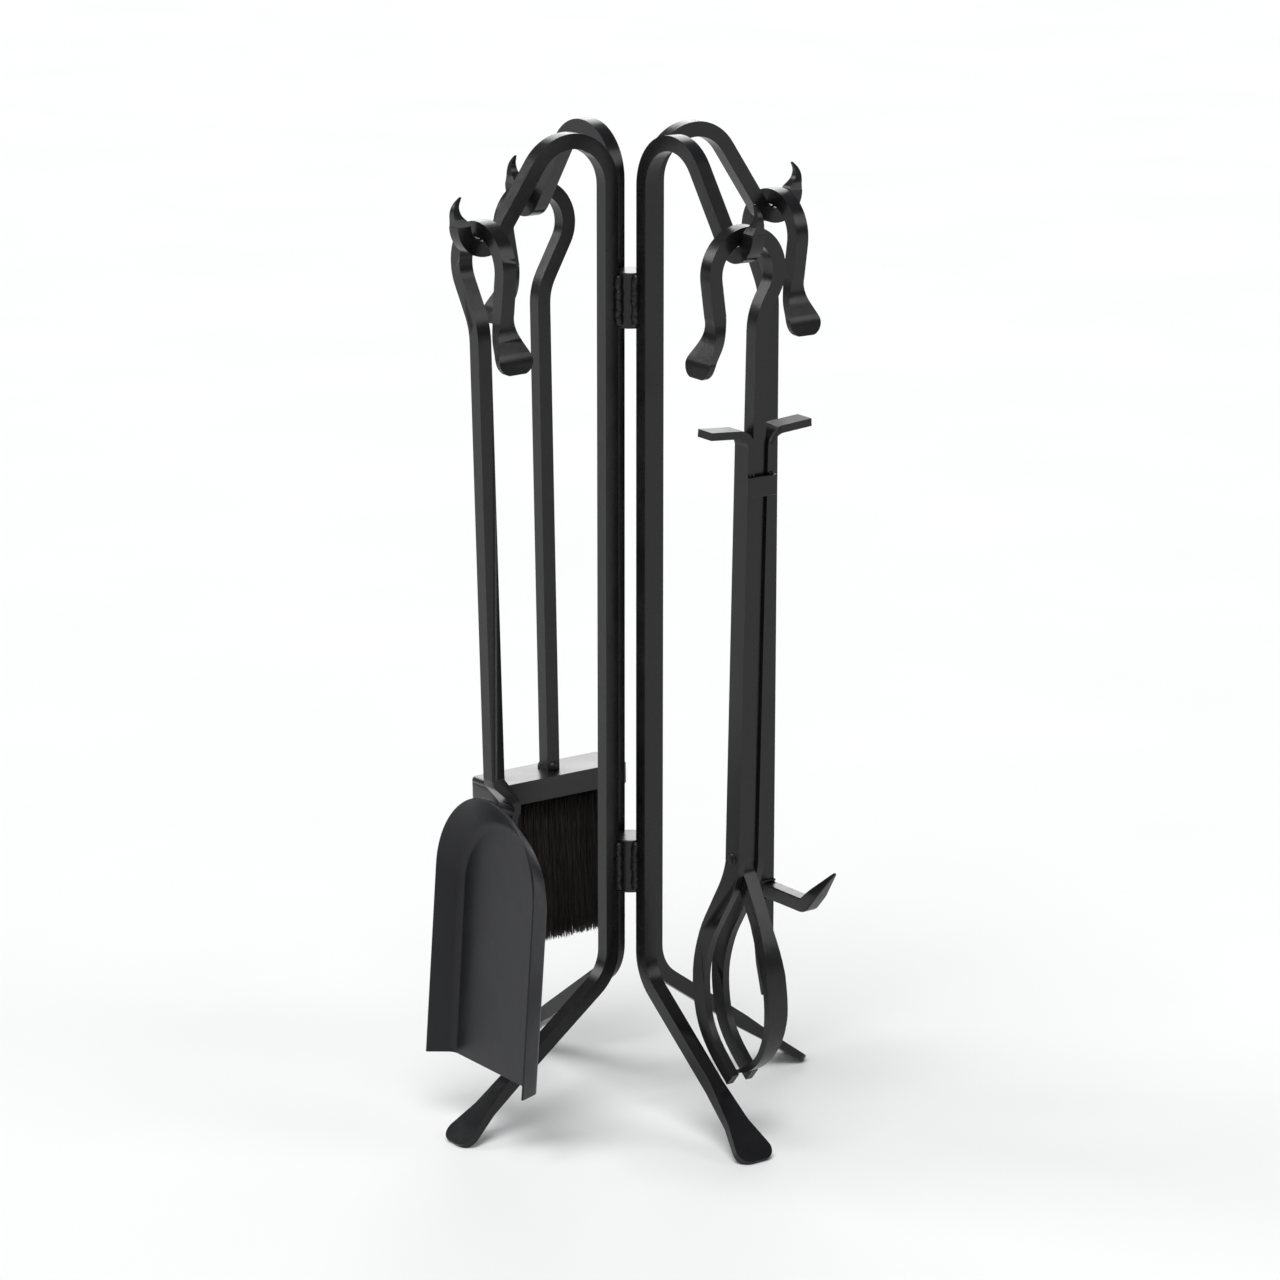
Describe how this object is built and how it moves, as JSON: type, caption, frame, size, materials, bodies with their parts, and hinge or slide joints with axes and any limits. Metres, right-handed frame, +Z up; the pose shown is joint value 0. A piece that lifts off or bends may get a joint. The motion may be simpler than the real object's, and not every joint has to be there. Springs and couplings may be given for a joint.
{
  "type": "fireplace tool set",
  "caption": "Free-standing four-armed stand of bent square bar with hooks, carrying a pan shovel, a hearth brush, three-claw tongs and a poker with a spur.",
  "frame": {"origin": "on the floor, under the stand's vertical axis", "axes": "+Z up; the arms point along -X (shovel), -Y (tongs), +X (poker) and +Y (brush)"},
  "size_m": [0.2624, 0.2624, 0.6],
  "materials": {
    "black_steel": "satin black paint",
    "pan_paint": "smooth satin black paint on sheet",
    "head_paint": "semi-gloss black paint",
    "bristles": "matt dark fibre"
  },
  "bodies": {
    "stand": {"left_stand_arm": "black_steel", "front_stand_arm": "black_steel", "right_stand_arm": "black_steel", "back_stand_arm": "black_steel", "upper_spacer": "black_steel", "lower_spacer": "black_steel", "upper_spacer_welds": "black_steel", "lower_spacer_welds": "black_steel"},
    "shovel": {"shovel_handle": "black_steel", "shovel_pan": "pan_paint", "shovel_welds": "black_steel"},
    "brush": {"brush_handle": "black_steel", "brush_head": "head_paint", "brush_bristles": "bristles", "brush_weld": "black_steel"},
    "tongs": {"tongs_bar": "black_steel", "tongs_pin": "black_steel"},
    "tongs_strips": {"tongs_left_strip": "black_steel", "tongs_right_strip": "black_steel", "tongs_collar": "black_steel", "tongs_collar_welds": "black_steel"},
    "poker": {"poker_bar": "black_steel", "poker_spur": "black_steel", "poker_welds": "black_steel"}
  },
  "joints": [
    {"name": "shovel_lift", "type": "slide", "parent": "stand", "child": "shovel", "axis": [-0.2978, 0.1386, 0.9445], "range_m": [0, 0.3]},
    {"name": "brush_lift", "type": "slide", "parent": "stand", "child": "brush", "axis": [0.0499, 0.3003, 0.9525], "range_m": [0, 0.3]},
    {"name": "tongs_lift", "type": "slide", "parent": "stand", "child": "tongs", "axis": [0, -0.3007, 0.9537], "range_m": [0, 0.3]},
    {"name": "poker_lift", "type": "slide", "parent": "stand", "child": "poker", "axis": [0.2986, 0.1191, 0.9469], "range_m": [0, 0.3]},
    {"name": "tongs_hinge", "type": "hinge", "parent": "tongs", "child": "tongs_strips", "pos_m": [0.01425, -0.0957, 0.17813], "axis": [1, 0, 0], "range_deg": [0, 12]}
  ]
}
